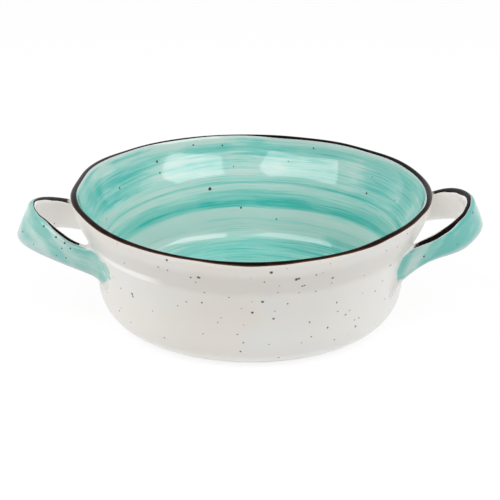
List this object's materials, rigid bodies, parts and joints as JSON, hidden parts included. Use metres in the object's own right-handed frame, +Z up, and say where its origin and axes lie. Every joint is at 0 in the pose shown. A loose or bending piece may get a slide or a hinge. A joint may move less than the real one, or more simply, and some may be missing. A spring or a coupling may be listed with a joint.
{
  "type": "lug soup bowl",
  "caption": "Round glazed stoneware soup bowl with a flared neck and a strap loop handle on each side, turquoise inside and speckled white outside.",
  "frame": {"origin": "centre of the foot's underside, on the axis of the bowl", "axes": "+Z up along the bowl's axis, +X through the middle of the right handle, +Y towards the back"},
  "size_m": [0.1948, 0.15, 0.054],
  "materials": {
    "stoneware": "bare fired clay, matte",
    "turquoise_glaze": "brushed turquoise under clear gloss glaze",
    "white_glaze": "warm white gloss glaze with small brown specks",
    "brown_line": "hand-painted dark brown line under clear gloss glaze"
  },
  "bodies": {
    "root": {"bowl_body": "stoneware", "inner_glaze": "turquoise_glaze", "outer_glaze": "white_glaze", "rim_line": "brown_line", "right_strap": "stoneware", "right_front_joint": "white_glaze", "right_back_joint": "white_glaze", "right_outer_glaze": "turquoise_glaze", "right_inner_glaze": "white_glaze", "right_line": "brown_line", "left_strap": "stoneware", "left_front_joint": "white_glaze", "left_back_joint": "white_glaze", "left_outer_glaze": "turquoise_glaze", "left_inner_glaze": "white_glaze", "left_line": "brown_line"}
  },
  "joints": []
}
